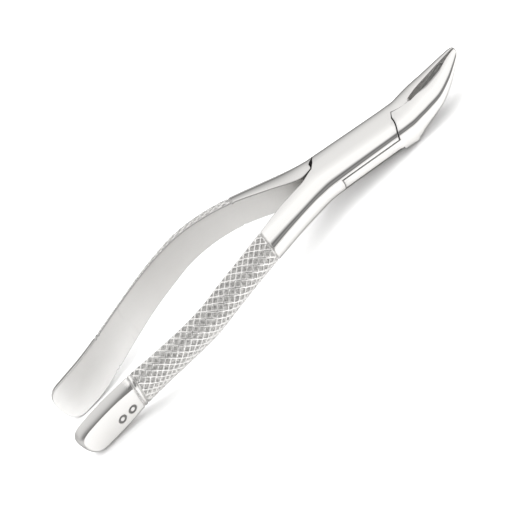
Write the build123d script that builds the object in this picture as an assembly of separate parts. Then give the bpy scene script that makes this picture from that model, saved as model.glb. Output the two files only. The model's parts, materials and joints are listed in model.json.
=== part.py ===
from build123d import *

import math
import os

# Root-extraction forceps with a box joint, in millimetres, closed and lying on a flat surface.
# The pieces are drawn in the joint's own frame: the pin runs along Z through the origin, the
# beaks point to +X and the handles to -X. The last section lays them down, +Z up.
# The box half has its handle on the -Y side and its beak on the +Y side. The tongue half passes
# through the window of the box half, so its handle is on the +Y side and its beak on the -Y side.

# ---- joint block: rounder underneath, except the tongue half's shoulder at the beak ------------
JOINT_HALF_LENGTH = 15.5
JOINT_HALF_WIDTH = 8.15
JOINT_TOP = 5.0
CHEEK_BOTTOM = 4.5
SHOULDER_BOTTOM = 4.9
TOP_POWER = 5.0
CHEEK_BOTTOM_POWER = 2.4
SHOULDER_BOTTOM_POWER = 3.2

# ---- flats ground round both ends of the pin ----------------------------------------------------
GROUND_FLAT_RADIUS = 3.6
GROUND_FLAT_TOP = 4.95
GROUND_FLAT_BOTTOM = -4.25

# ---- window through the box half, and the tongue that fills it ------------------------------------
WINDOW_HALF_HEIGHT = 1.75
WINDOW_END_RADIUS = 13.1
WINDOW_TURN_Y = 0.8
TONGUE_FACE_CLEARANCE = 0.08
TONGUE_END_CLEARANCE = 0.12

# ---- seams where the tongue half's shoulders meet the box half's cheeks -----------------------------
NECK_SEAM_RADIUS = 14.5
NECK_SEAM_TURN_Y = 4.5
NECK_SEAM_GAP = 0.3
BEAK_SEAM_RADIUS = 14.2
BEAK_SEAM_TURN_Y = -0.5
BEAK_SEAM_GAP = 0.15

# ---- where the two halves lie against each other at both ends of the block --------------------------
CROTCH_Y = 2.1
CROTCH_GAP = 0.3
UPPER_CROTCH = CROTCH_Y + CROTCH_GAP / 2
LOWER_CROTCH = CROTCH_Y - CROTCH_GAP / 2

# ---- hinge pin -----------------------------------------------------------------------------------------
PIN_RADIUS = 2.0
PIN_RUNNING_CLEARANCE = 0.05

# ---- round-ended groove down the inner face of both beaks ------------------------------------------------
GROOVE_RADIUS = 1.9
GROOVE_ROOT_END = (27.5, 0.0, 4.7)
GROOVE_TIP_END = (36.0, 0.0, 8.7)

# ---- rounded ends of the handles and beaks -----------------------------------------------------------------
BOX_HANDLE_END_X = -124.2
TONGUE_HANDLE_END_X = -122.8
HANDLE_CAP = 5.8
BEAK_END_X = 42.8
BEAK_CAP = 2.2
CAP_POWER = 2.8

# ---- flat for punched marks, outside the box half's handle end: two points on its upper edge ---------------
FLAT_NEAR = (-102.0, -15.8, -10.9)
FLAT_FAR = (-120.0, -14.3, -16.3)
FLAT_TILT_DEG = 7.4
FLAT_REACH = 24.0

# ---- lying position: nose-down tilt of the joint, and the pin's place over the footprint -------------------
REST_TILT_DEG = 9.8
PIN_PLACE = (41.13, 0.0, 7.56)

# ---- stations along the halves, joined by smooth curves ----------------------------------------------------
# Columns: X, inner face of the +Y body, inner face of the -Y body, distance of the outer surface
# from the middle plane on +Y and on -Y, height, Z of the middle, lean of the inner face in degrees,
# corner power above on +Y and on -Y, corner power below (2 is an ellipse, more is squarer), and how
# far the outline's widest height is centred on the inner face (1) instead of on the middle plane (0).
# The roots are a hair smaller than the block that they grow from.
ROOT_STEP = 0.08
ROOT_WIDTH = JOINT_HALF_WIDTH - ROOT_STEP
ROUND_ROOT = (ROOT_WIDTH, ROOT_WIDTH, JOINT_TOP + CHEEK_BOTTOM - 2 * ROOT_STEP,
              (JOINT_TOP - CHEEK_BOTTOM) / 2, 0.0, TOP_POWER, TOP_POWER, CHEEK_BOTTOM_POWER, 0.0)
FULL_ROOT = (ROOT_WIDTH, ROOT_WIDTH, JOINT_TOP + SHOULDER_BOTTOM - 2 * ROOT_STEP,
             (JOINT_TOP - SHOULDER_BOTTOM) / 2, 0.0, TOP_POWER, TOP_POWER, SHOULDER_BOTTOM_POWER, 0.0)
HANDLE_ROOT = (-JOINT_HALF_LENGTH, UPPER_CROTCH, -LOWER_CROTCH, *ROUND_ROOT)
BOX_BEAK_ROOT = (JOINT_HALF_LENGTH, UPPER_CROTCH, -LOWER_CROTCH, *ROUND_ROOT)
TONGUE_BEAK_ROOT = (JOINT_HALF_LENGTH, UPPER_CROTCH, -LOWER_CROTCH, *FULL_ROOT)
HANDLE_STATIONS = [
    (-20.5, 1.9, 0.9, 10.3, 9.8, 9.6, 0.3, 0.0, 3.8, 3.4, 2.6, 0.5),
    (-30.5, 5.7, 4.8, 14.2, 13.7, 9.8, 0.7, 0.5, 2.6, 2.6, 2.4, 1.0),
    (-41.0, 10.3, 9.8, 17.7, 17.6, 10.0, 0.7, 2.0, 2.3, 2.3, 2.3, 1.0),
    (-51.0, 13.4, 13.4, 20.5, 20.5, 10.4, -0.1, 4.0, 2.2, 2.2, 2.2, 1.0),
    (-61.0, 15.5, 15.5, 22.3, 22.3, 11.1, -2.1, 6.5, 2.2, 2.2, 2.2, 1.0),
    (-70.0, 16.2, 16.2, 22.4, 22.4, 11.8, -5.1, 9.5, 2.2, 2.2, 2.2, 1.0),
    (-80.0, 15.3, 15.3, 20.9, 20.9, 12.3, -8.2, 11.0, 2.2, 2.2, 2.2, 1.0),
    (-90.0, 13.5, 13.5, 18.6, 18.6, 13.1, -11.5, 11.0, 2.2, 2.2, 2.2, 1.0),
    (-99.0, 11.8, 11.2, 16.6, 16.6, 13.9, -14.8, 11.0, 2.6, 2.6, 2.2, 1.0),
    (-108.0, 10.5, 9.4, 15.3, 15.3, 14.6, -18.1, 11.0, 3.0, 3.0, 2.3, 1.0),
    (-116.5, 10.1, 8.9, 14.9, 14.9, 14.4, -20.44, 11.0, 3.0, 3.0, 2.3, 1.0),
    (-124.0, 10.3, 9.0, 14.6, 14.6, 13.6, -22.34, 11.0, 3.0, 3.0, 2.3, 1.0),
]
BEAK_STATIONS = [
    (18.3, 1.35, -1.0, 8.1, 8.1, 9.4, 0.5, 0.0, 4.6, 4.2, 3.2, 0.0),
    (21.3, 0.2, 0.2, 7.8, 8.4, 8.5, 2.0, 0.0, 4.0, 3.5, 3.1, 0.2),
    (25.0, 1.2, 1.2, 7.1, 9.0, 7.7, 3.8, 0.0, 3.4, 3.0, 2.9, 0.5),
    (30.0, 1.4, 1.4, 6.1, 8.9, 6.5, 5.7, 0.0, 3.0, 3.0, 2.7, 0.8),
    (35.0, 1.2, 1.2, 4.9, 7.0, 5.1, 7.95, 0.0, 2.6, 2.6, 2.5, 1.0),
    (39.0, 0.6, 0.6, 3.4, 4.8, 3.8, 10.1, 0.0, 2.5, 2.5, 2.4, 1.0),
    (42.8, 0.1, 0.1, 1.9, 2.2, 2.4, 12.1, 0.0, 2.4, 2.4, 2.3, 1.0),
]
STATION_SPACING = 3.5
HALF_OUTLINE_STEPS = 6
CAP_STEPS = 6


def slope(rows, index, column):
    """Slope of one column at a station, from the stations on both sides of it."""
    before = rows[max(index - 1, 0)]
    after = rows[min(index + 1, len(rows) - 1)]
    return (after[column] - before[column]) / (after[0] - before[0])


def station_at(rows, x):
    """All columns at any X, by a smooth curve through the rows."""
    sign = 1 if rows[-1][0] > rows[0][0] else -1
    index = 0
    while index < len(rows) - 2 and sign * x > sign * rows[index + 1][0]:
        index += 1
    first, second = rows[index], rows[index + 1]
    run = second[0] - first[0]
    t = (x - first[0]) / run
    values = [x]
    for column in range(1, len(first)):
        start_slope = slope(rows, index, column) * run
        end_slope = slope(rows, index + 1, column) * run
        values.append(
            first[column] * (2 * t ** 3 - 3 * t ** 2 + 1) + start_slope * (t ** 3 - 2 * t ** 2 + t)
            + second[column] * (3 * t ** 2 - 2 * t ** 3) + end_slope * (t ** 3 - t ** 2))
    return values


def rounded_point(angle, power):
    """Point of a superellipse with half-axes of 1, as (outwards, upwards)."""
    out = math.copysign(abs(math.cos(angle)) ** (2 / power), math.cos(angle))
    up = math.copysign(abs(math.sin(angle)) ** (2 / power), math.sin(angle))
    return out, up


def half_outline(width, inner, top, bottom, top_power, bottom_power):
    """Outline outside the inner face, top round to bottom, as (outwards, upwards) points."""
    share = min(abs(inner) / width, 1.0)
    points = []
    for height, power in ((top, top_power), (-bottom, bottom_power)):
        reach = math.acos(math.copysign(share ** (power / 2), inner))
        quarter = []
        for step in range(HALF_OUTLINE_STEPS + 1):
            out, up = rounded_point(reach * (1 - step / HALF_OUTLINE_STEPS), power)
            quarter.append((width * out, height * up))
        points += quarter if height > 0 else quarter[-2::-1]
    return points


def section(station, side, scale=1.0):
    """D-shaped section of a handle or beak. The scale shrinks it towards its middle for the caps."""
    x, *sides, height, middle, lean_deg, plus_power, minus_power, bottom_power, shift = station
    plus_face, minus_face, plus_outer, minus_outer = sides
    inner = plus_face if side > 0 else minus_face
    outer = plus_outer if side > 0 else minus_outer
    top_power = plus_power if side > 0 else minus_power
    centre = shift * inner
    lean = math.radians(lean_deg)
    cap_centre = inner + 0.35 * (outer - inner)
    outline = half_outline(
        outer - centre, inner - centre, height / 2, height / 2, top_power, bottom_power)
    vectors = []
    for out, up in outline:
        out = (centre + out - cap_centre) * scale + cap_centre - inner
        up *= scale
        y = inner + out * math.cos(lean) + up * math.sin(lean)
        z = middle + up * math.cos(lean) - out * math.sin(lean)
        vectors.append(Vector(x, side * y, z))
    curve = Edge.make_spline(vectors)
    flat = Edge.make_line(vectors[-1], vectors[0])
    return Face(Wire([curve, flat]))


def half_body(rows, end_x, cap, side):
    """Handle or beak on one side: a loft from the joint block to the cap, and the rounded cap."""
    start_x = rows[0][0]
    direction = 1 if end_x > start_x else -1
    cap_x = end_x - direction * cap
    count = round(abs(cap_x - start_x) / STATION_SPACING)
    shaft = []
    for step in range(count + 1):
        x = start_x + (cap_x - start_x) * step / count
        shaft.append(section(station_at(rows, x), side))
    rounded = []
    for step in range(CAP_STEPS + 1):
        angle = math.pi / 2 * 0.96 * step / CAP_STEPS
        reach = math.sin(angle) ** (2 / CAP_POWER)
        scale = math.cos(angle) ** (2 / CAP_POWER)
        rounded.append(section(station_at(rows, cap_x + direction * cap * reach), side, scale))
    return loft(Sketch() + shaft) + loft(Sketch() + rounded)


def joint_block(bottom, bottom_power):
    """The closed joint as one block, before it is shared out between the halves."""
    outline = half_outline(JOINT_HALF_WIDTH, 0.0, JOINT_TOP, bottom, TOP_POWER, bottom_power)
    mirrored = [(-out, up) for out, up in outline]
    loop = outline + mirrored[-2:0:-1]
    points = [Vector(-JOINT_HALF_LENGTH, out, up) for out, up in loop]
    face = Face(Wire([Edge.make_spline(points, periodic=True)]))
    return extrude(face, amount=2 * JOINT_HALF_LENGTH, dir=(1, 0, 0))


def plan_face(corners):
    """Face in the XY plane. A corner's third value is the radius of an arc about the pin up to it."""
    edges = []
    previous = corners[-1]
    for corner in corners:
        start = Vector(*previous[:2])
        end = Vector(*corner[:2])
        if len(corner) == 3:
            middle = (start + end).normalized() * corner[2]
            edges.append(Edge.make_three_point_arc(start, middle, end))
        else:
            edges.append(Edge.make_line(start, end))
        previous = corner
    return Face(Wire(edges))


def on_arc(radius, y):
    """X where a circle about the pin reaches this Y."""
    return math.sqrt(radius ** 2 - y ** 2)


def cheek_plan(gaps):
    """Cover of the box half's cheeks, seen along the pin. With gaps 1 it includes the seam gaps."""
    neck = NECK_SEAM_RADIUS + gaps * NECK_SEAM_GAP
    beak = BEAK_SEAM_RADIUS + gaps * BEAK_SEAM_GAP
    half = JOINT_HALF_WIDTH
    over = half + 1.0
    end = JOINT_HALF_LENGTH
    return plan_face([
        (-end, LOWER_CROTCH + gaps * CROTCH_GAP),
        (-on_arc(neck, NECK_SEAM_TURN_Y), NECK_SEAM_TURN_Y),
        (-on_arc(neck, half), half, neck),
        (-on_arc(neck, half), over),
        (end, over),
        (end, UPPER_CROTCH - gaps * CROTCH_GAP),
        (on_arc(beak, BEAK_SEAM_TURN_Y), BEAK_SEAM_TURN_Y),
        (on_arc(beak, half), -half, beak),
        (on_arc(beak, half), -over),
        (-end, -over),
    ])


def window_plan(gaps):
    """Cover of the window, seen along the pin. With gaps 1 it is the tongue, smaller by its gaps."""
    radius = WINDOW_END_RADIUS - gaps * TONGUE_END_CLEARANCE
    neck_turn = WINDOW_TURN_Y + gaps * CROTCH_GAP
    beak_turn = WINDOW_TURN_Y - gaps * CROTCH_GAP
    half = JOINT_HALF_WIDTH
    over = half + 1.0
    end = JOINT_HALF_LENGTH
    return plan_face([
        (-end, LOWER_CROTCH + gaps * CROTCH_GAP),
        (-on_arc(radius, neck_turn), neck_turn),
        (-on_arc(radius, half), -half, radius),
        (-on_arc(radius, half), -over),
        (end, -over),
        (end, UPPER_CROTCH - gaps * CROTCH_GAP),
        (on_arc(radius, beak_turn), beak_turn),
        (on_arc(radius, half), half, radius),
        (on_arc(radius, half), over),
        (-end, over),
    ])


def slab(face, half_height):
    """Plan face extruded to the same height above and below the middle of the joint."""
    return extrude(Pos(0, 0, -half_height) * face, amount=2 * half_height, dir=(0, 0, 1))


def groove():
    """Round-ended rod that cuts the groove of both beaks."""
    start = Vector(*GROOVE_ROOT_END)
    end = Vector(*GROOVE_TIP_END)
    run = end - start
    rod = Plane(origin=start, z_dir=run) * Cylinder(
        GROOVE_RADIUS, run.length, align=(Align.CENTER, Align.CENTER, Align.MIN))
    return rod + Pos(*start) * Sphere(GROOVE_RADIUS) + Pos(*end) * Sphere(GROOVE_RADIUS)


def mark_flat():
    """Block that cuts the flat on the outside of the box half's handle end."""
    towards_end = Vector(*FLAT_FAR) - Vector(*FLAT_NEAR)
    tilt = math.radians(FLAT_TILT_DEG)
    down = Vector(0, math.sin(tilt), -math.cos(tilt))
    outwards = towards_end.cross(down).normalized()
    plane = Plane(origin=FLAT_NEAR, x_dir=towards_end, z_dir=outwards)
    return plane * Box(
        FLAT_REACH + towards_end.length, FLAT_REACH, FLAT_REACH, align=(Align.MIN, Align.CENTER, Align.MIN))


def make_box_half():
    """Handle on -Y, cheeks with the window between them, and beak on +Y."""
    cheeks = joint_block(CHEEK_BOTTOM, CHEEK_BOTTOM_POWER) & slab(cheek_plan(0), JOINT_TOP + 1.0)
    cheeks -= slab(window_plan(0), WINDOW_HALF_HEIGHT)
    for flat, direction in ((GROUND_FLAT_TOP, 1), (GROUND_FLAT_BOTTOM, -1)):
        cheeks -= Pos(0, 0, flat + direction) * Cylinder(GROUND_FLAT_RADIUS, 2.0)
    handle = half_body([HANDLE_ROOT] + HANDLE_STATIONS, BOX_HANDLE_END_X, HANDLE_CAP, -1) - mark_flat()
    beak = half_body([BOX_BEAK_ROOT] + BEAK_STATIONS, BEAK_END_X, BEAK_CAP, 1)
    half = cheeks + handle + beak - groove()
    return half - Cylinder(PIN_RADIUS, 3 * JOINT_TOP)


def make_tongue_half():
    """Handle on +Y, thin tongue through the window, and beak on -Y."""
    seams = slab(cheek_plan(1), JOINT_TOP + 1.0)
    beak_side = Pos(JOINT_HALF_LENGTH, 0, 0) * Box(
        2 * JOINT_HALF_LENGTH, 4 * JOINT_HALF_WIDTH, 4 * JOINT_TOP)
    round_block = joint_block(CHEEK_BOTTOM, CHEEK_BOTTOM_POWER)
    full_block = joint_block(SHOULDER_BOTTOM, SHOULDER_BOTTOM_POWER)
    tongue = round_block & slab(window_plan(1), WINDOW_HALF_HEIGHT - TONGUE_FACE_CLEARANCE)
    neck_shoulder = round_block - seams - beak_side
    beak_shoulder = (full_block - seams) & beak_side
    handle = half_body([HANDLE_ROOT] + HANDLE_STATIONS, TONGUE_HANDLE_END_X, HANDLE_CAP, 1)
    beak = half_body([TONGUE_BEAK_ROOT] + BEAK_STATIONS, BEAK_END_X, BEAK_CAP, -1)
    half = tongue + neck_shoulder + beak_shoulder + handle + beak - groove()
    return half - Cylinder(PIN_RADIUS + PIN_RUNNING_CLEARANCE, 3 * JOINT_TOP)


def make_hinge_pin():
    """Plain pin, ground flush with the flats of both cheeks."""
    length = GROUND_FLAT_TOP - GROUND_FLAT_BOTTOM
    middle = (GROUND_FLAT_TOP + GROUND_FLAT_BOTTOM) / 2
    return Pos(0, 0, middle) * Cylinder(PIN_RADIUS, length)


lying = Location(PIN_PLACE, (0, REST_TILT_DEG, 0))
nodes = {
    "box_half": make_box_half(),
    "tongue_half": make_tongue_half(),
    "hinge_pin": make_hinge_pin(),
}

os.makedirs("parts", exist_ok=True)
for name, shape in nodes.items():
    placed = lying * shape
    export_step(placed, f"parts/{name}.step")
    box = placed.bounding_box()
    print(f"{name}: {len(placed.solids())} solid, {placed.volume:.0f} mm3,"
          f" {box.min.X:.2f} {box.min.Y:.2f} {box.min.Z:.2f} to"
          f" {box.max.X:.2f} {box.max.Y:.2f} {box.max.Z:.2f}")
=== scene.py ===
"""Looks of the root-extraction forceps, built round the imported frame.

Both halves are drawn in the joint's own frame, in millimetres: the pin runs along Z through the
origin, the beaks point to +X and the handles to -X. Each half is one distance function, negative
inside the steel, and its mesh is the surface where that function is zero.
"""
import json
import math
import bpy
import numpy as np
import openvdb
from mathutils import Matrix, Quaternion, Vector


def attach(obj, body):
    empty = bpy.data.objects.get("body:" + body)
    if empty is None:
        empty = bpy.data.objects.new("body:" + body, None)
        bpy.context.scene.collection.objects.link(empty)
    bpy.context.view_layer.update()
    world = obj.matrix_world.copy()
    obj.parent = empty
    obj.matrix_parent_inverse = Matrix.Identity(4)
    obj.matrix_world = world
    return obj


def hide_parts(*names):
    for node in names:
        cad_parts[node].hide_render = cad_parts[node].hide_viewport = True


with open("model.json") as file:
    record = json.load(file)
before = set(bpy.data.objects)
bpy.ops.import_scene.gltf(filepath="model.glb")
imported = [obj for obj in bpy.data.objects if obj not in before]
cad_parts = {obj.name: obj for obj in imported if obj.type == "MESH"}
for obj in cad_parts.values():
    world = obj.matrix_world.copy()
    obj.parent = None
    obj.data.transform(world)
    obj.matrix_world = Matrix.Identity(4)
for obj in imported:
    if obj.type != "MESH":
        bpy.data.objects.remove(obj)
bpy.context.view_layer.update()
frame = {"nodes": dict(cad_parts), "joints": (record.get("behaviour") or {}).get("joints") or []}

MM = 0.001

# ---- joint block, seams and window, in millimetres ---------------------------------------------
JOINT_HALF_LENGTH = 15.5
CHEEK_BOTTOM = 4.5
SHOULDER_BOTTOM = 4.9
CHEEK_BOTTOM_POWER = 2.4
SHOULDER_BOTTOM_POWER = 3.2
GROUND_BOTTOM = -4.25
GROUND_RADIUS = 3.6
WINDOW_TOP = 1.85
WINDOW_BOTTOM = -2.05
WINDOW_END_RADIUS = 13.1
WINDOW_TURN_Y = 0.8
TONGUE_HALF_HEIGHT = 1.62
TONGUE_END_RADIUS = 12.98
NECK_SEAM_RADIUS = 14.5
NECK_SEAM_TURN_Y = 4.5
NECK_SEAM_GAP = 0.3
NECK_RELIEF = 1.0
NECK_RELIEF_X = -14.8
NECK_RELIEF_Y = 4.6
NECK_RELIEF_REACH = (3.0, 3.4)
BEAK_SEAM_RADIUS = 14.2
BEAK_SEAM_TURN_Y = -0.5
BEAK_SEAM_GAP = 0.3
CROTCH_GAP = 0.3
UPPER_CROTCH = 2.25
LOWER_CROTCH = 1.95
PIN_RADIUS = 2.0
PIN_CLEARANCE = 0.05
PIN_HOLE_TOP = 4.7

# ---- shoulder underneath, deeper than the cheeks between these X ------------------------------------
SHOULDER_XS = (11.0, 11.6, 17.5, 18.3)

# ---- rounded ends ---------------------------------------------------------------------------------
BOX_HANDLE_END = 124.2
TONGUE_HANDLE_END = 122.8
HANDLE_CAP = 5.8
BEAK_END = 42.8
BEAK_CAP = 2.2
CAP_POWER = 2.8
HANDLE_CAP_SLANT = 0.25

# ---- groove down the inner face of both beaks --------------------------------------------------------
GROOVE_RADIUS = 1.9
GROOVE_START = (27.5, 0.0, 4.7)
GROOVE_STOP = (36.0, 0.0, 8.7)

# ---- slot between the closed beaks ------------------------------------------------------------------
SLOT_XS = (21.3, 28.0)
SLOT_START = 21.6
SLOT_ROUND = 1.0
SLOT_HALF_WIDTH = 0.95
CLOSED_HALF_GAP = 0.08

# ---- bevel along the upper inner edge of the -Y beak ----------------------------------------------
BEVEL_XS = (28.5, 34.5)
BEVEL_WIDTH = 0.9
BEVEL_ANGLE = 10.0
BEVEL_LEVEL = 0.49
BEVEL_FADE = 0.05

# ---- flat with two punched rings at the box half's handle end: outward and upward in the section ----
FLAT_TOP = (4.3, 6.0)
FLAT_FOOT = (4.95, -4.2)
FLAT_STOP = -101.3
FLAT_RAMP = 0.9
FLAT_EDGE = 0.06
MARK_XS = (-104.6, -108.9)
MARK_UP = -0.9
MARK_RADIUS = 1.15
MARK_TOOL_RADIUS = 0.36
MARK_SHADE_REACH = 0.12

# ---- edge rounding ---------------------------------------------------------------------------------------
SEAM_EDGE = 0.12
HANDLE_EDGE = 0.4
BEAK_EDGE = 0.3
CLOSED_EDGE = 0.03
GROOVE_EDGE = 0.2
BORE_EDGE = 0.02
SPOT_EDGE = 0.08
SPOT_FOOT_EDGE = 0.05
BEVEL_EDGE = 0.05
SIDE_EDGES = ((-30.0, -16.0, 15.0, 16.5, 22.5, 25.0),
              (HANDLE_EDGE, SEAM_EDGE, SEAM_EDGE, CLOSED_EDGE, CLOSED_EDGE, BEAK_EDGE))

# ---- a distance that is surely further than any edge ------------------------------------------------
FAR_AWAY = 9.0

# ---- stations along a half. Columns: X, inner face of the +Y body and of the -Y body, outer surface on
# +Y and on -Y, height, Z of the middle, lean in degrees, corner power above on +Y and on -Y, corner
# power below, centre shift ---------------------------------------------------------------------------
STATIONS = [
    (-130.0, 10.4, 9.1, 14.4, 14.4, 13.0, -24.04, 11.0, 3.0, 3.0, 2.3, 1.0),
    (-124.0, 10.3, 9.0, 14.6, 14.6, 13.6, -22.34, 11.0, 3.0, 3.0, 2.3, 1.0),
    (-116.5, 10.1, 8.9, 14.9, 14.9, 14.4, -20.44, 11.0, 3.0, 3.0, 2.3, 1.0),
    (-108.0, 10.5, 9.4, 15.3, 15.3, 14.6, -18.1, 11.0, 3.0, 3.0, 2.3, 1.0),
    (-99.0, 11.8, 11.2, 16.6, 16.6, 13.9, -14.8, 11.0, 2.6, 2.6, 2.2, 1.0),
    (-90.0, 13.5, 13.5, 18.6, 18.6, 13.1, -11.5, 11.0, 2.2, 2.2, 2.2, 1.0),
    (-80.0, 15.3, 15.3, 20.9, 20.9, 12.3, -8.2, 11.0, 2.2, 2.2, 2.2, 1.0),
    (-70.0, 16.2, 16.2, 22.4, 22.4, 11.8, -5.1, 9.5, 2.2, 2.2, 2.2, 1.0),
    (-61.0, 15.5, 15.5, 22.3, 22.3, 11.1, -2.1, 6.5, 2.2, 2.2, 2.2, 1.0),
    (-51.0, 13.4, 13.4, 20.5, 20.5, 10.4, -0.1, 4.0, 2.2, 2.2, 2.2, 1.0),
    (-41.0, 10.3, 9.8, 17.7, 17.6, 10.0, 0.7, 2.0, 2.3, 2.3, 2.3, 1.0),
    (-30.5, 5.5, 4.8, 14.3, 13.7, 9.8, 0.7, 0.5, 2.6, 2.6, 2.4, 1.0),
    (-20.5, 1.2, 0.9, 10.8, 9.8, 9.6, 0.3, 0.0, 3.8, 2.7, 2.6, 0.5),
    (-15.5, 2.25, -1.95, 9.15, 8.55, 9.5, 0.25, 0.0, 5.0, 2.7, 2.4, 0.0),
    (-12.0, 2.25, -1.95, 9.0, 8.25, 9.48, 0.24, 0.0, 5.0, 2.8, 2.4, 0.0),
    (12.0, 2.25, -1.95, 8.15, 8.15, 9.48, 0.24, 0.0, 5.0, 3.5, 2.4, 0.0),
    (15.5, 2.25, -1.95, 8.15, 8.15, 9.5, 0.25, 0.0, 5.0, 3.5, 2.4, 0.0),
    (18.3, 1.25, -1.15, 8.1, 8.1, 9.4, 0.5, 0.0, 4.6, 3.4, 3.2, 0.0),
    (21.3, 0.08, 0.08, 7.8, 8.4, 8.5, 2.0, 0.0, 4.0, 3.2, 3.1, 0.2),
    (25.0, 1.2, 1.2, 7.1, 9.0, 7.7, 3.8, 0.0, 3.4, 3.0, 2.9, 0.5),
    (30.0, 1.4, 1.4, 6.1, 8.9, 6.5, 5.7, 0.0, 3.0, 3.0, 2.7, 0.8),
    (35.0, 1.2, 1.2, 4.9, 7.0, 5.1, 7.95, 0.0, 2.6, 2.6, 2.5, 1.0),
    (39.0, 0.6, 0.6, 3.4, 4.8, 3.8, 10.1, 0.0, 2.5, 2.5, 2.4, 1.0),
    (42.8, 0.1, 0.1, 1.9, 2.2, 2.4, 12.1, 0.0, 2.4, 2.4, 2.3, 1.0),
]
COLUMN_NAMES = ("plus_face", "minus_face", "plus_outer", "minus_outer", "height", "middle", "lean",
                "plus_power", "minus_power", "bottom_power", "shift")
TABLE_STEP = 0.05
TABLE_SPARE = 6.0

# ---- cross-cut grip band ---------------------------------------------------------------------------------
GRIP_START = -99.2
GRIP_STOP = -41.6
GRIP_FLOOR = 0.4
RIDGE_PITCH = 2.0
RIDGE_HALF_BASE = 0.45
RIDGE_CREST = 1.25
RIDGE_ANGLE = 42.0
RIDGE_WANDER = 0.025
RIDGE_WEAR = 0.12
GRIP_RAMP = 0.5
GRIP_HALF_ANGLE = 1.52
GRIP_ANGLE_RAMP = 0.08
GRIP_RING_DEPTH = 0.35
GRIP_RINGS = ((GRIP_START - 1.5, 0.6), (GRIP_START - 0.1, 0.5), (GRIP_STOP + 0.3, 0.6))


def on_arc(radius, y):
    """X where a circle about the pin reaches this Y."""
    return math.sqrt(radius ** 2 - y ** 2)


def column_tables():
    """Every station column on a fine list of X, by smooth curves through the stations."""
    rows = np.array(STATIONS)
    xs = np.arange(rows[0, 0], rows[-1, 0] + TABLE_SPARE, TABLE_STEP)
    count = len(rows)
    index = np.clip(np.searchsorted(rows[:, 0], xs) - 1, 0, count - 2)
    slopes = np.empty_like(rows)
    for i in range(count):
        before, after = rows[max(i - 1, 0)], rows[min(i + 1, count - 1)]
        slopes[i] = (after - before) / (after[0] - before[0])
    first, second = rows[index], rows[index + 1]
    run = (second[:, 0] - first[:, 0])[:, None]
    t = (xs[:, None] - first[:, :1]) / run
    values = (first * (2 * t ** 3 - 3 * t ** 2 + 1) + slopes[index] * run * (t ** 3 - 2 * t ** 2 + t)
              + second * (3 * t ** 2 - 2 * t ** 3) + slopes[index + 1] * run * (t ** 3 - t ** 2))
    return xs, {name: values[:, i + 1] for i, name in enumerate(COLUMN_NAMES)}


TABLE_X, TABLE = column_tables()
MIDLINE = (TABLE["plus_face"] + TABLE["plus_outer"]) / 2
HANDLE_RUN = np.concatenate([[0.0], np.cumsum(np.sqrt(
    np.diff(TABLE_X) ** 2 + np.diff(MIDLINE) ** 2 + np.diff(TABLE["middle"]) ** 2))])


def column(name, x):
    """One station column at any X."""
    return np.interp(x, TABLE_X, TABLE[name])


def cut(a, b, radius):
    """Intersection of two distances, with the edge between them rounded."""
    return (np.hypot(np.maximum(a + radius, 0.0), np.maximum(b + radius, 0.0))
            + np.minimum(np.maximum(a, b), -radius))


def line(x, x0, y0, x1, y1):
    """Straight line through two points, at any X."""
    return y0 + (y1 - y0) * (x - x0) / (x1 - x0)


def slot_width(x):
    """Half the width of the slot between the beaks, near its round lower end."""
    t = np.clip((x - SLOT_START) / SLOT_ROUND, 0, 1)
    full = np.interp(x, [SLOT_START, SLOT_XS[1]], [SLOT_HALF_WIDTH, column("plus_face", SLOT_XS[1])])
    return CLOSED_HALF_GAP + (full - CLOSED_HALF_GAP) * np.sqrt(1 - (1 - t) ** 2)


def inner_face(x, face, crotch, turn_x, turn_y):
    """Inner face of a body: its station column outside the joint, a straight seam inside it."""
    end = math.copysign(JOINT_HALF_LENGTH, turn_x)
    seam = line(x, end, crotch, turn_x, turn_y)
    own = np.where((x > SLOT_XS[0]) & (x < SLOT_XS[1]), slot_width(x), column(face, x))
    return np.where(np.abs(x) > JOINT_HALF_LENGTH, own, seam)


def outwards(x, y, z, side, inner):
    """Distance from an inner face, towards the outside of the body on that side."""
    lean = np.radians(column("lean", x))
    return (side * y - inner) * np.cos(lean) - (z - column("middle", x)) * np.sin(lean)


def envelope(x, y, z, side, full_bottom):
    """Place of a point in the section of the rail on one side, which in the joint is the whole block."""
    face = column("plus_face" if side > 0 else "minus_face", x)
    outer = np.where(y > 0, column("plus_outer", x), column("minus_outer", x))
    height, middle = column("height", x), column("middle", x)
    bottom_power = column("bottom_power", x)
    if full_bottom:
        deeper = np.interp(x, SHOULDER_XS, [0.0, 1.0, 1.0, 0.0])
        extra = (SHOULDER_BOTTOM - CHEEK_BOTTOM) * deeper
        height = height + extra
        middle = middle - extra / 2
        bottom_power = bottom_power + (SHOULDER_BOTTOM_POWER - CHEEK_BOTTOM_POWER) * deeper
    lean = np.radians(column("lean", x))
    across, above = side * y - face, z - middle
    out = across * np.cos(lean) - above * np.sin(lean)
    up = across * np.sin(lean) + above * np.cos(lean)
    centre = column("shift", x) * face
    half_width, half_height = outer - centre, height / 2
    top_power = np.where(y > 0, column("plus_power", x), column("minus_power", x))
    power = np.where(up > 0, top_power, bottom_power)
    u = (out + face - centre) / half_width
    v = up / half_height
    raised_u, raised_v = np.abs(u) ** (power - 1), np.abs(v) ** (power - 1)
    total = raised_u * np.abs(u) + raised_v * np.abs(v) + 1e-9
    gauge = total ** (1 / power)
    rate = gauge / total * np.hypot(raised_u / half_width, raised_v / half_height) + 1e-6
    return u, v, half_width, half_height, gauge, rate


def capped(past_end, gauge, rate, cap):
    """Distance to the envelope with its end rounded off over the length of the cap."""
    t = np.clip(past_end / cap + 1.0, 0.0, 3.0)
    total = gauge ** CAP_POWER + t ** CAP_POWER
    whole = total ** (1 / CAP_POWER)
    steep = whole / total * np.hypot(gauge ** (CAP_POWER - 1) * rate, t ** (CAP_POWER - 1) / cap)
    return (whole - 1) / steep


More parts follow.
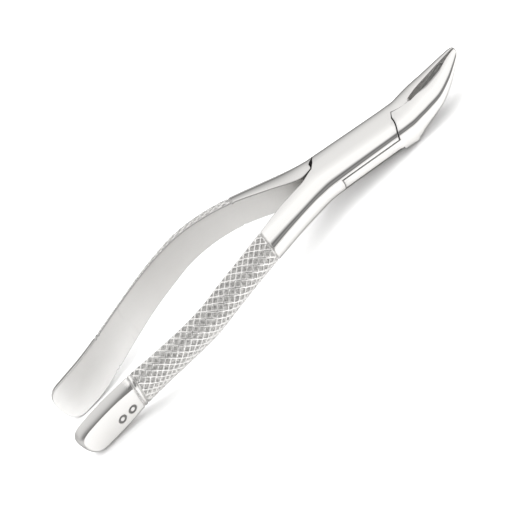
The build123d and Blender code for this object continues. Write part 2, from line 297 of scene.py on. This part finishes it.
def ridge(phase):
    """Height from 0 to 1 of a row of ridges, one per whole number of the phase."""
    off = np.abs(phase - np.round(phase)) * RIDGE_PITCH / RIDGE_HALF_BASE
    t = np.clip(RIDGE_CREST - off, 0.0, 1.0)
    return t * t * (3 - 2 * t)


def bump(x, at, half_width):
    """Smooth bump of height 1 at a place."""
    t = np.clip(1 - np.abs(x - at) / half_width, 0.0, 1.0)
    return t * t * (3 - 2 * t)


def grip_height(x, u, v, half_width, half_height):
    """Height of the cross-cut pattern above the smooth surface, with its end rings.

    The waves in it only make the ridges a little uneven, as if cut and worn by hand.
    """
    angle = np.arctan2(v, u)
    girth = (half_width + half_height) / 2 * angle + (half_height - half_width) / 4 * np.sin(2 * angle)
    along = np.interp(x, TABLE_X, HANDLE_RUN)
    tilt = math.radians(RIDGE_ANGLE)
    first = (girth * math.cos(tilt) - along * math.sin(tilt)) / RIDGE_PITCH
    second = (girth * math.cos(tilt) + along * math.sin(tilt)) / RIDGE_PITCH
    first = first + RIDGE_WANDER * np.sin(1.9 * along + 0.8 * girth)
    second = second + RIDGE_WANDER * np.sin(1.3 * girth - 2.3 * along)
    worn = RIDGE_WEAR * (1 + np.sin(2.9 * along) * np.sin(3.7 * girth + 0.6 * along))
    pattern = np.maximum(ridge(first) * (1 - worn), ridge(second)) - 1.0
    inside = np.clip((x - GRIP_START) / GRIP_RAMP, 0, 1) * np.clip((GRIP_STOP - x) / GRIP_RAMP, 0, 1)
    margin = np.clip((GRIP_HALF_ANGLE - np.abs(angle)) / GRIP_ANGLE_RAMP, 0, 1)
    rings = sum(bump(x, at, half_width) for at, half_width in GRIP_RINGS)
    return GRIP_FLOOR * pattern * inside * margin - GRIP_RING_DEPTH * rings


def flat_place(x, y, z):
    """Height above the handle end's flat, and height in the rail's section."""
    lean = np.radians(column("lean", x))
    across, above = -y - column("minus_face", x), z - column("middle", x)
    out = across * np.cos(lean) - above * np.sin(lean)
    up = across * np.sin(lean) + above * np.cos(lean)
    run = np.subtract(FLAT_FOOT, FLAT_TOP)
    facing = np.array((-run[1], run[0])) / np.hypot(*run)
    depth = (out - FLAT_TOP[0]) * facing[0] + (up - FLAT_TOP[1]) * facing[1]
    return depth - np.maximum(x - FLAT_STOP, 0) * FLAT_RAMP, up


def flat(x, y, z, steel):
    """The rail on -Y with the flat and its punched rings cut in near its handle end, and those rings."""
    depth, up = flat_place(x, y, z)
    steel = cut(steel, depth, FLAT_EDGE)
    rings = np.full_like(x, FAR_AWAY)
    for mark_x in MARK_XS:
        off_ring = np.hypot(x - mark_x, up - MARK_UP) - MARK_RADIUS
        rings = np.minimum(rings, np.hypot(off_ring, depth) - MARK_TOOL_RADIUS)
    return cut(steel, -rings, FLAT_EDGE), rings


def handle_rail(x, y, z, side, end):
    """Outer surface of a handle with the grip cut in it, and the grip's height."""
    u, v, half_width, half_height, gauge, rate = envelope(x, y, z, side, False)
    fall = HANDLE_CAP_SLANT * (z - column("middle", x))
    surface = capped(-end - x - fall, gauge, rate, HANDLE_CAP)
    height = grip_height(x, u, v, half_width, half_height)
    return surface - height, height


def beak_rail(x, y, z, side, full_bottom):
    """Outer surface of a beak."""
    gauge, rate = envelope(x, y, z, side, full_bottom)[4:]
    return capped(x - BEAK_END, gauge, rate, BEAK_CAP)


def edge_radius(x):
    """Rounding of the edges between the outer surface and the inner faces and seams."""
    return np.interp(x, *SIDE_EDGES)


def groove(x, y, z):
    """Distance to the round-ended rod that cuts the groove of both beaks."""
    start, stop = np.array(GROOVE_START), np.array(GROOVE_STOP)
    run = stop - start
    t = ((x - start[0]) * run[0] + (y - start[1]) * run[1] + (z - start[2]) * run[2]) / (run @ run)
    t = np.clip(t, 0, 1)
    return np.sqrt((x - start[0] - t * run[0]) ** 2 + (y - start[1] - t * run[1]) ** 2
                   + (z - start[2] - t * run[2]) ** 2) - GROOVE_RADIUS


def beak_bevel(x, y, z):
    """Height above the narrow bevel along the upper inner edge of the -Y beak."""
    side = y + column("minus_face", x) + BEVEL_WIDTH
    above = z - column("middle", x) - BEVEL_LEVEL * column("height", x)
    away = np.maximum(BEVEL_XS[0] - x, 0) + np.maximum(x - BEVEL_XS[1], 0)
    tilt = math.radians(BEVEL_ANGLE)
    return side * math.sin(tilt) + above * math.cos(tilt) - BEVEL_FADE * away


def box_handle(x, y, z):
    """Handle end of the box half, on -Y: its outer surface, its plan, and the grip's height, lowered in the
    punched rings so that shade is painted in them.
    """
    r = np.hypot(x, y)
    steel, height = handle_rail(x, y, z, -1, BOX_HANDLE_END)
    steel, rings = flat(x, y, z, steel)
    # The height is lowered in and round the punched rings only to paint shade in them; flat() above has
    # already cut the steel.
    height = np.minimum(height, -2 * GRIP_FLOOR * np.clip(1 - rings / MARK_SHADE_REACH, 0, 1))
    turn = -on_arc(NECK_SEAM_RADIUS, NECK_SEAM_TURN_Y)
    neck = outwards(x, y, z, -1, inner_face(x, "minus_face", -LOWER_CROTCH, turn, -NECK_SEAM_TURN_Y))
    cheeks = np.minimum(r - NECK_SEAM_RADIUS, -neck)
    turn = -on_arc(WINDOW_END_RADIUS, WINDOW_TURN_Y)
    neck = outwards(x, y, z, -1, inner_face(x, "minus_face", -LOWER_CROTCH, turn, -WINDOW_TURN_Y))
    web = cut(WINDOW_END_RADIUS - r, -neck, SEAM_EDGE)
    plan = np.minimum(cut(np.minimum(WINDOW_TOP - z, z - WINDOW_BOTTOM), cheeks, SEAM_EDGE), web)
    return steel, plan, height


def box_beak(x, y, z):
    """Beak end of the box half, on +Y."""
    r = np.hypot(x, y)
    steel = beak_rail(x, y, z, 1, False)
    turn = on_arc(BEAK_SEAM_RADIUS, BEAK_SEAM_TURN_Y)
    beak = outwards(x, y, z, 1, inner_face(x, "plus_face", UPPER_CROTCH, turn, BEAK_SEAM_TURN_Y))
    cheeks = np.minimum(r - BEAK_SEAM_RADIUS, -beak)
    turn = on_arc(WINDOW_END_RADIUS, WINDOW_TURN_Y)
    beak = outwards(x, y, z, 1, inner_face(x, "plus_face", UPPER_CROTCH, turn, WINDOW_TURN_Y))
    web = cut(WINDOW_END_RADIUS - r, -beak, SEAM_EDGE)
    plan = np.minimum(cut(np.minimum(WINDOW_TOP - z, z - WINDOW_BOTTOM), cheeks, SEAM_EDGE), web)
    return steel, cut(plan, -groove(x, y, z), GROOVE_EDGE), np.zeros_like(steel)


def box_bore(x, y, z, half):
    """The spot face under the pin and the pin's hole."""
    r = np.hypot(x, y)
    spot = cut(r - GROUND_RADIUS, z - GROUND_BOTTOM, SPOT_FOOT_EDGE)
    hole = cut(r - PIN_RADIUS, z - PIN_HOLE_TOP, BORE_EDGE)
    return cut(cut(half, -spot, SPOT_EDGE), -hole, BORE_EDGE)


def tongue_handle(x, y, z):
    """Handle end of the tongue half, on +Y: its outer surface, its plan, and the grip's height."""
    r = np.hypot(x, y)
    steel, height = handle_rail(x, y, z, 1, TONGUE_HANDLE_END)
    radius = NECK_SEAM_RADIUS + NECK_SEAM_GAP
    turn = -on_arc(radius, NECK_SEAM_TURN_Y)
    neck = outwards(x, y, z, 1, inner_face(x, "plus_face", UPPER_CROTCH, turn, NECK_SEAM_TURN_Y))
    relief = (NECK_RELIEF * bump(y, NECK_RELIEF_Y, NECK_RELIEF_REACH[1])
              * bump(x, NECK_RELIEF_X, NECK_RELIEF_REACH[0]))
    shoulder = cut(radius + relief - r, relief - neck, SEAM_EDGE)
    turn_y = WINDOW_TURN_Y + CROTCH_GAP
    turn = -on_arc(TONGUE_END_RADIUS, turn_y)
    neck = outwards(x, y, z, 1, inner_face(x, "plus_face", UPPER_CROTCH, turn, turn_y))
    tongue = np.minimum(r - TONGUE_END_RADIUS, -neck)
    tongue = cut(tongue, np.abs(z) - TONGUE_HALF_HEIGHT, SEAM_EDGE)
    return steel, np.minimum(shoulder, tongue), height


def tongue_beak(x, y, z):
    """Beak end of the tongue half, on -Y."""
    r = np.hypot(x, y)
    steel = cut(beak_rail(x, y, z, -1, True), beak_bevel(x, y, z), BEVEL_EDGE)
    radius = BEAK_SEAM_RADIUS + BEAK_SEAM_GAP
    turn = on_arc(radius, BEAK_SEAM_TURN_Y)
    beak = outwards(x, y, z, -1, inner_face(x, "minus_face", -LOWER_CROTCH, turn, -BEAK_SEAM_TURN_Y))
    shoulder = cut(radius - r, -beak, SEAM_EDGE)
    turn_y = WINDOW_TURN_Y - CROTCH_GAP
    turn = on_arc(TONGUE_END_RADIUS, turn_y)
    beak = outwards(x, y, z, -1, inner_face(x, "minus_face", -LOWER_CROTCH, turn, -turn_y))
    tongue = np.minimum(r - TONGUE_END_RADIUS, -beak)
    tongue = cut(tongue, np.abs(z) - TONGUE_HALF_HEIGHT, SEAM_EDGE)
    return steel, cut(np.minimum(shoulder, tongue), -groove(x, y, z), GROOVE_EDGE), np.zeros_like(steel)


def tongue_bore(x, y, z, half):
    """The running hole for the pin."""
    return cut(half, PIN_RADIUS + PIN_CLEARANCE - np.hypot(x, y), BORE_EDGE)


def half_at(parts, points):
    """Distance to a half's surface, its outer surface and plan, and the grip's height, at points."""
    handle_part, beak_part, bore = parts
    found = np.empty((4, len(points)))
    for mask, part in ((points[:, 0] < 0, handle_part), (points[:, 0] >= 0, beak_part)):
        if mask.any():
            x, y, z = points[mask].T
            steel, plan, height = part(x, y, z)
            half = bore(x, y, z, cut(steel, plan, edge_radius(x)))
            found[:, mask] = half, steel, plan, height
    return found


def spaced(stretches):
    """Grid lines along X from (start, stop, step) stretches that follow on."""
    lines = [stretches[0][0]]
    for start, stop, step in stretches:
        count = max(1, round((stop - start) / step))
        lines += [start + (stop - start) * (i + 1) / count for i in range(count)]
    return np.array(lines)


# ---- grid that the surface is found on: stretches of (start, stop, step) along X, and lines across ----
FINE = 1.0
SECTION_STEPS = 112
STRETCHES = [(-101.5, -41.0, 0.17 * FINE), (-41.0, -17.0, 0.35 * FINE), (-17.0, 17.5, 0.14 * FINE),
             (17.5, 43.2, 0.22 * FINE)]
START_STEP = 0.35 * FINE
SPARE_END = 3.0
SOLO_XS = (15.5, 22.0)
SPARE_BLOCK = 0.4
SPARE_RAIL = 1.6
SPARE_HEIGHT = 1.0
BLOCK = 4
NEAR_SURFACE = 0.75 * FINE
MOST_TRIANGLES = 190000
LONGEST_STEP = 0.15


def skin(parts, handle_side, handle_end):
    """Points and faces where a half's distance is zero, from a grid that follows the half.

    The distance is worked out on every fourth grid point first, and on all of them only near steel.
    """
    xs = spaced([(-handle_end - SPARE_END, STRETCHES[0][0], START_STEP), *STRETCHES])
    outer = np.maximum(column("plus_outer", xs), column("minus_outer", xs))
    inner, middle = np.minimum(column("plus_face", xs), column("minus_face", xs)), column("middle", xs)
    side = np.where(xs < 0, handle_side, -handle_side)
    solo = np.interp(np.abs(xs), SOLO_XS, [0.0, 1.0])
    y_middle = side * solo * (inner + outer) / 2
    y_reach = (1 - solo) * (outer + SPARE_BLOCK) + solo * ((outer - inner) / 2 + SPARE_RAIL)
    z_reach = column("height", xs) / 2 + SPARE_HEIGHT

    def place(i, j, k):
        """Points at places in the grid, which may lie between its lines."""
        x = np.interp(i, np.arange(len(xs)), xs)
        y = np.interp(x, xs, y_middle) + np.interp(x, xs, y_reach) * (j / (SECTION_STEPS - 1) * 2 - 1)
        z = np.interp(x, xs, middle) + np.interp(x, xs, z_reach) * (k / (SECTION_STEPS - 1) * 2 - 1)
        return np.stack([x, y, z], 1)

    shape = (len(xs), SECTION_STEPS, SECTION_STEPS)
    coarse = [np.arange(0, n + BLOCK, BLOCK).clip(max=n - 1) for n in shape]
    i, j, k = (c.ravel() for c in np.meshgrid(*coarse, indexing="ij"))
    rough = half_at(parts, place(i, j, k))[0].reshape([len(c) for c in coarse])
    rows, columns, layers = (len(c) - 1 for c in coarse)
    cells = np.stack([rough[a:rows + a, b:columns + b, c:layers + c]
                      for a in (0, 1) for b in (0, 1) for c in (0, 1)])

    def spread(cell_values):
        """Values per block, repeated for every grid point in it."""
        for axis in range(3):
            cell_values = np.repeat(cell_values, BLOCK, axis)
        return cell_values[:shape[0], :shape[1], :shape[2]]

    near = spread(np.abs(cells).min(0) < NEAR_SURFACE)
    values = spread(cells.mean(0)).astype(np.float32)
    i, j, k = np.nonzero(near)
    values[near] = half_at(parts, place(i, j, k))[0]
    grid = openvdb.FloatGrid(1.0)
    grid.copyFromArray(np.ascontiguousarray(values))
    points, _, quads = grid.convertToPolygons(isovalue=0.0, adaptivity=0.0)
    return place(*points.T), quads


def gradient(parts, points, step=0.01):
    """Slope of a half's distance at points."""
    sides = []
    for axis in range(3):
        offset = np.zeros(3)
        offset[axis] = step
        sides.append(half_at(parts, points + offset)[0] - half_at(parts, points - offset)[0])
    return np.stack(sides, 1) / (2 * step)


def settle(parts, points, rounds):
    """Moves points onto the surface."""
    for _ in range(rounds):
        slope = gradient(parts, points)
        value = half_at(parts, points)[0]
        step = value[:, None] * slope / ((slope ** 2).sum(1)[:, None] + 1e-4)
        length = np.linalg.norm(step, axis=1)[:, None]
        points = points - step * np.minimum(1.0, LONGEST_STEP / (length + 1e-9))
    return points


joint = frame["joints"][0]
pin_place = Vector(joint["pos_m"])
up = -Vector(joint["axis"]).normalized()
forward = Vector((0.0, 1.0, 0.0)).cross(up).normalized()
LAY_DOWN = Matrix((forward, Vector((0, 1, 0)), up)).transposed().to_4x4()
LAY_DOWN.translation = pin_place


# ---- where the finishes, the painted shade and the painted light are. The first four are places along X and the amounts there ---
# Painted shade along edges, the stretch where the beaks close and none is painted, painted shade on the
# tongue half's inner face, and painted light on it.
EDGE_STRENGTH = ((-112.0, -100.0, -20.0, -16.0), (0.7, 1.0, 1.0, 0.7))
SEAM_CLOSED = ((15.5, 16.5, 23.0, 25.0), (0.0, 1.0, 1.0, 0.0))
FACE_SHADE = ((-90.0, -60.0, -32.0, -20.0), (0.0, 0.2, 0.2, 0.42))
FACE_PAINTED_LIGHT = ((-118.0, -100.0, -75.0), (0.7, 0.45, 0.0))
FACE_BLEND = 0.4
EDGE_WIDTH = 0.45
GROOVE_BLEND = 0.2
HIDDEN_RADIUS = 15.4
HIDDEN_FADE = 0.5
TONGUE_RADIUS = 13.0
TONGUE_LEVEL = 2.0
TONGUE_SATIN = 0.6
END_TOP_START = -101.6
END_TOP_FADE = 0.6
END_TOP_UP = 1.0
END_TOP_DEPTH_FADE = 0.15
END_TOP_SATIN = 0.7
END_TOP_SHADE = (0.32, 0.34)
END_TOP_SHADE_REACH = 5.0


def weights(points, handle_side, steel, plan, height):
    """Where each finish, painted shade and painted light is on a half, from 0 to 1: the material reads these
    from the mesh.
    """
    x, y, z = points.T
    r = np.hypot(x, y)
    on_tongue_half = handle_side > 0
    inner = np.clip((plan - steel) / FACE_BLEND + 0.5, 0, 1)
    # The grip's valleys: the material makes them rougher, and paints shade into them, broken up by a noise.
    valley = np.clip(-height / GRIP_FLOOR, 0, 1) * (1 - inner)

    # Painted shade along the edges between the inner faces and the outer surface, strongest along the
    # handles and none where the beaks close on each other.
    closed = np.interp(x, *SEAM_CLOSED)
    sharp = np.interp(x, *EDGE_STRENGTH)
    edge = sharp * np.clip(1 - np.abs(plan - steel) / (EDGE_WIDTH * sharp), 0, 1) * (1 - closed)

    # Painted shade on the faces between the halves inside the joint, in the beaks' groove, and in the grip's
    # end rings and the punched rings.
    in_joint = np.clip((HIDDEN_RADIUS - r) / HIDDEN_FADE, 0, 1)
    in_groove = np.clip(1 - np.abs(groove(x, y, z)) / GROOVE_BLEND, 0, 1)
    in_rings = np.clip(-height / GRIP_FLOOR - 1, 0, 1)
    shade_on_hidden_faces = np.maximum(inner * np.maximum(in_joint, in_groove), in_rings)

    tongue_side = np.clip(TONGUE_LEVEL - np.abs(z), 0, 1) * (r < TONGUE_RADIUS) * on_tongue_half
    depth, up_in_section = flat_place(x, y, z)
    end_top = (not on_tongue_half) * np.clip((END_TOP_START - x) / END_TOP_FADE, 0, 1)
    end_top = end_top * np.clip(-depth / END_TOP_DEPTH_FADE, 0, 1)
    end_top = end_top * np.clip(up_in_section - END_TOP_UP, 0, 1) * (1 - inner)
    satin = np.maximum(np.maximum(inner, TONGUE_SATIN * tongue_side), END_TOP_SATIN * end_top)

    # Painted shade on the top of the box half's handle end, darker towards the flat, and on the tongue
    # half's inner face, darker towards the joint; both join the painted shade along the edges.
    least, more = END_TOP_SHADE
    end_shade = end_top * (least + more * np.clip(1 + depth / END_TOP_SHADE_REACH, 0, 1))
    face_shade = np.interp(x, *FACE_SHADE) * inner * on_tongue_half * (x < 0)
    edge = np.maximum(np.maximum(edge, end_shade), face_shade)
    # Painted light on the tongue half's inner face, paler towards its handle end.
    painted_light = inner * on_tongue_half * np.interp(x, *FACE_PAINTED_LIGHT)
    return {"satin": satin, "valley": valley, "edge": edge, "shade_on_hidden_faces": shade_on_hidden_faces, "painted_light": painted_light}


def half_piece(name, parts, handle_side, handle_end):
    """One half as an object: skinned, thinned, settled on the surface, weighted and laid down."""
    points, quads = skin(parts, handle_side, handle_end)
    mesh = bpy.data.meshes.new(name)
    mesh.from_pydata((points * MM).tolist(), [], quads.tolist())
    mesh.update()
    piece = bpy.data.objects.new(name, mesh)
    bpy.context.scene.collection.objects.link(piece)
    thin = piece.modifiers.new("thin", "DECIMATE")
    thin.ratio = min(1.0, MOST_TRIANGLES / (2 * len(quads)))
    thinned = bpy.data.meshes.new_from_object(piece.evaluated_get(bpy.context.evaluated_depsgraph_get()))
    piece.modifiers.clear()
    piece.data = thinned
    coordinates = np.empty(len(thinned.vertices) * 3)
    thinned.vertices.foreach_get("co", coordinates)
    points = settle(parts, coordinates.reshape(-1, 3) / MM, 2)
    slope = gradient(parts, points)
    normals = slope / (np.linalg.norm(slope, axis=1)[:, None] + 1e-9)
    steel, plan, height = half_at(parts, points)[1:]
    for label, amount in weights(points, handle_side, steel, plan, height).items():
        thinned.attributes.new(label, "FLOAT", "POINT").data.foreach_set("value", amount.astype(np.float32))
    thinned.vertices.foreach_set("co", (points * MM).ravel())
    thinned.update()
    thinned.polygons.foreach_set("use_smooth", [True] * len(thinned.polygons))
    turn = np.array(LAY_DOWN.to_3x3())
    thinned.transform(LAY_DOWN)
    thinned.normals_split_custom_set_from_vertices((normals @ turn.T).tolist())
    return piece


# ---- materials. The scales are of noises, in object coordinates --------------------------------------
# The first colour is painted light, mixed onto the tongue half's inner face towards its handle end.
PAINTED_LIGHT_STEEL = (0.96, 0.955, 0.945)
GRAZING_TINT = (0.3, 0.3, 0.3, 1)
# Painted shade: the tone it darkens to as a share of the steel's tone, and how much of it goes along edges,
# on faces hidden in the joint and groove, and in the grip's valleys, there broken up by a noise.
DARK_SHARE = 0.3
EDGE_DARK = 0.8
HIDDEN_DARK = 0.75
VALLEY_SHADE_DARK = 0.62
SPECKS_FROM, SPECKS_TO = 0.38, 0.66
SMUDGE_SCALE = 90.0
BRUSH_SCALE = 260.0
BRUSH_STRETCH = (1, 9, 9)
GRAIN_SCALE = 2600.0
SPECKS_SCALE = 1500.0
SMUDGE_ROUGHNESS = 0.05
BRUSH_ROUGHNESS = 0.12
VALLEY_ROUGHNESS = 0.65
BRUSH_HEIGHT = 0.6
GRAIN_HEIGHT = 0.12
BUMP_STRENGTH = 0.25
BUMP_DISTANCE = 0.00002


def new_material(name):
    """A material with nodes, and its nodes and links."""
    material = bpy.data.materials.new(name)
    material.use_nodes = True
    return material, material.node_tree.nodes, material.node_tree.links


def steel(name, tone, roughness, satin_roughness):
    """Steel that is polished where satin is 0 and brushed where it is 1, with painted shade in the grip's
    valleys, along edges and seams and on faces hidden in the joint, and painted light on the tongue half's
    inner face.
    """
    material, nodes, links = new_material(name)
    shader = nodes["Principled BSDF"]
    shader.inputs["Metallic"].default_value = 1.0
    shader.inputs["Specular Tint"].default_value = GRAZING_TINT

    def attribute(label):
        node = nodes.new("ShaderNodeAttribute")
        node.attribute_name = label
        return node.outputs["Fac"]

    def math_node(operation, a, b):
        node = nodes.new("ShaderNodeMath")
        node.operation = operation
        for socket, value in zip(node.inputs, (a, b)):
            if isinstance(value, (int, float)):
                socket.default_value = value
            else:
                links.new(value, socket)
        return node.outputs["Value"]

    def times(a, b):
        return math_node("MULTIPLY", a, b)

    def plus(a, b):
        return math_node("ADD", a, b)

    def ranged(value, **ends):
        """A value from one range, moved to another: ends are from_min, from_max, to_min and to_max."""
        node = nodes.new("ShaderNodeMapRange")
        for label, end in ends.items():
            node.inputs[label.replace("_", " ").title()].default_value = end
        links.new(value, node.inputs["Value"])
        return node.outputs["Result"]

    def mixed(a, b, share):
        """Colour a with a share of colour b. Colour a may come from another node."""
        node = nodes.new("ShaderNodeMix")
        node.data_type = "RGBA"
        if isinstance(a, tuple):
            node.inputs["A"].default_value = (*a, 1)
        else:
            links.new(a, node.inputs["A"])
        node.inputs["B"].default_value = (*b, 1)
        links.new(share, node.inputs["Factor"])
        return node.outputs["Result"]

    place = nodes.new("ShaderNodeTexCoord")

    def noise(scale, stretch, detail):
        mapping = nodes.new("ShaderNodeMapping")
        mapping.inputs["Scale"].default_value = stretch
        links.new(place.outputs["Object"], mapping.inputs["Vector"])
        node = nodes.new("ShaderNodeTexNoise")
        node.inputs["Scale"].default_value = scale
        node.inputs["Detail"].default_value = detail
        links.new(mapping.outputs["Vector"], node.inputs["Vector"])
        return node.outputs["Fac"]

    satin, valley = attribute("satin"), attribute("valley")
    smudge = noise(SMUDGE_SCALE, (1, 1, 1), 4.0)
    brushed = times(noise(BRUSH_SCALE, BRUSH_STRETCH, 6.0), satin)
    grain = noise(GRAIN_SCALE, (1, 1, 1), 3.0)
    speckled_valley_shade = ranged(noise(SPECKS_SCALE, (1, 1, 1), 3.0), from_min=SPECKS_FROM, from_max=SPECKS_TO,
                    to_min=0.0, to_max=VALLEY_SHADE_DARK)
    # Painted shade along edges and seams, on faces hidden in the joint and in the grip's valleys, and
    # painted light on the tongue half's inner face.
    dark = math_node("MAXIMUM", times(attribute("edge"), EDGE_DARK), times(attribute("shade_on_hidden_faces"), HIDDEN_DARK))
    dark = math_node("MAXIMUM", dark, times(valley, speckled_valley_shade))
    toned_with_painted_light = mixed(tone, PAINTED_LIGHT_STEEL, attribute("painted_light"))
    links.new(mixed(toned_with_painted_light, tuple(c * DARK_SHARE for c in tone), dark), shader.inputs["Base Color"])
    finish = plus(ranged(satin, to_min=roughness, to_max=satin_roughness), times(smudge, SMUDGE_ROUGHNESS))
    finish = plus(finish, times(brushed, BRUSH_ROUGHNESS))
    links.new(plus(finish, times(valley, VALLEY_ROUGHNESS)), shader.inputs["Roughness"])
    bump_node = nodes.new("ShaderNodeBump")
    bump_node.inputs["Strength"].default_value = BUMP_STRENGTH
    bump_node.inputs["Distance"].default_value = BUMP_DISTANCE
    links.new(plus(times(brushed, BRUSH_HEIGHT), times(grain, GRAIN_HEIGHT)), bump_node.inputs["Height"])
    links.new(bump_node.outputs["Normal"], shader.inputs["Normal"])
    return material


polished = steel("polished_steel", (0.69, 0.68, 0.665), 0.06, 0.42)
ground = steel("ground_steel", (0.66, 0.65, 0.64), 0.22, 0.42)

halves = (
    ("box_half_forging", (box_handle, box_beak, box_bore), -1, BOX_HANDLE_END, "box_side", "box_half"),
    ("tongue_half_forging", (tongue_handle, tongue_beak, tongue_bore), 1, TONGUE_HANDLE_END,
     "tongue_side", "tongue_half"),
)
for name, parts, side, end, body, node in halves:
    piece = half_piece(name, parts, side, end)
    piece.data.materials.append(polished)
    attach(piece, body)
    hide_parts(node)
for place in frame["nodes"]["hinge_pin"].material_slots:
    place.material = ground

# ---- floor, light and camera ---------------------------------------------------------------------
FLOOR_REACH = 3.0
FLOOR_TONE = (0.8, 0.8, 0.8, 1)
floor_corners = [(x * FLOOR_REACH, y * FLOOR_REACH, 0) for x, y in ((-1, -1), (1, -1), (1, 1), (-1, 1))]
floor_mesh = bpy.data.meshes.new("floor")
floor_mesh.from_pydata(floor_corners, [], [(0, 1, 2, 3)])
floor = bpy.data.objects.new("floor", floor_mesh)
bpy.context.scene.collection.objects.link(floor)
material, nodes, links = new_material("paper")
nodes["Principled BSDF"].inputs["Base Color"].default_value = FLOOR_TONE
nodes["Principled BSDF"].inputs["Roughness"].default_value = 0.9
floor_mesh.materials.append(material)

VIEW_TARGET = Vector((-4.61, -1.63, 8.0)) * MM
VIEW_AZIMUTH = 0.82
VIEW_ELEVATION = 38.12
VIEW_ROLL = 43.71
VIEW_DISTANCE = 988.0
LENS = 221.4
camera_data = bpy.data.cameras.new("camera")
camera_data.lens = LENS
camera_data.clip_end = 10.0
camera = bpy.data.objects.new("camera", camera_data)
bpy.context.scene.collection.objects.link(camera)
azimuth, elevation = math.radians(VIEW_AZIMUTH), math.radians(VIEW_ELEVATION)
back = Vector((math.sin(azimuth) * math.cos(elevation), -math.cos(azimuth) * math.cos(elevation),
               math.sin(elevation)))
camera.rotation_mode = "QUATERNION"
camera.rotation_quaternion = ((-back).to_track_quat("-Z", "Y")
                              @ Quaternion((0, 0, 1), -math.radians(VIEW_ROLL)))
camera.location = VIEW_TARGET + back * VIEW_DISTANCE * MM
bpy.context.scene.camera = camera


def set_ramp(node, stops):
    """Grey colour stops of a ramp, as (place, level) pairs."""
    elements = node.color_ramp.elements
    for place, level in stops[2:]:
        elements.new(place)
    for element, (place, level) in zip(elements, stops):
        element.position = place
        element.color = (level, level, level, 1)


# The light round the object changes only over the top of it, from the horizon behind (0) through
# straight up (0.5) to the horizon in front (1). The dark band there is what makes the dark lines
# along the polished steel.
SKY = [(0.0, 0.25), (0.04, 0.5), (0.12, 0.85), (0.21, 1.25), (0.3, 1.5), (0.55, 1.4), (0.62, 0.75),
       (0.675, 0.3), (0.7, 0.2), (0.78, 0.42), (0.87, 0.3), (0.9, 0.2), (0.93, 1.2)]
world = bpy.data.worlds.new("studio")
bpy.context.scene.world = world
world.use_nodes = True
tree = world.node_tree
background = tree.nodes["Background"]
direction = tree.nodes.new("ShaderNodeTexCoord")
direction_parts = tree.nodes.new("ShaderNodeSeparateXYZ")
tree.links.new(direction.outputs["Generated"], direction_parts.inputs["Vector"])
over = tree.nodes.new("ShaderNodeMath")
over.operation = "ARCTAN2"
tree.links.new(direction_parts.outputs["Z"], over.inputs[0])
tree.links.new(direction_parts.outputs["Y"], over.inputs[1])
turned = tree.nodes.new("ShaderNodeMath")
turned.operation = "DIVIDE"
turned.inputs[1].default_value = math.pi
tree.links.new(over.outputs["Value"], turned.inputs[0])
sky = tree.nodes.new("ShaderNodeValToRGB")
set_ramp(sky, SKY)
tree.links.new(turned.outputs["Value"], sky.inputs["Fac"])
tree.links.new(sky.outputs["Color"], background.inputs["Color"])
background.inputs["Strength"].default_value = 1.0
bpy.context.scene.view_settings.view_transform = "Standard"

# Each light's name, place in metres and power in watts.
LIGHTS = (("key", (-0.15, 0.45, 1.1), 10.0), ("fill", (0.2, -0.7, 1.0), 22.0))
LIGHT_SIZE = 1.8
for label, place, power in LIGHTS:
    light_data = bpy.data.lights.new(label, "AREA")
    light_data.size = LIGHT_SIZE
    light_data.energy = power
    light = bpy.data.objects.new(label, light_data)
    light.visible_glossy = False
    light.location = place
    light.rotation_euler = Vector(place).to_track_quat("Z", "Y").to_euler()
    bpy.context.scene.collection.objects.link(light)
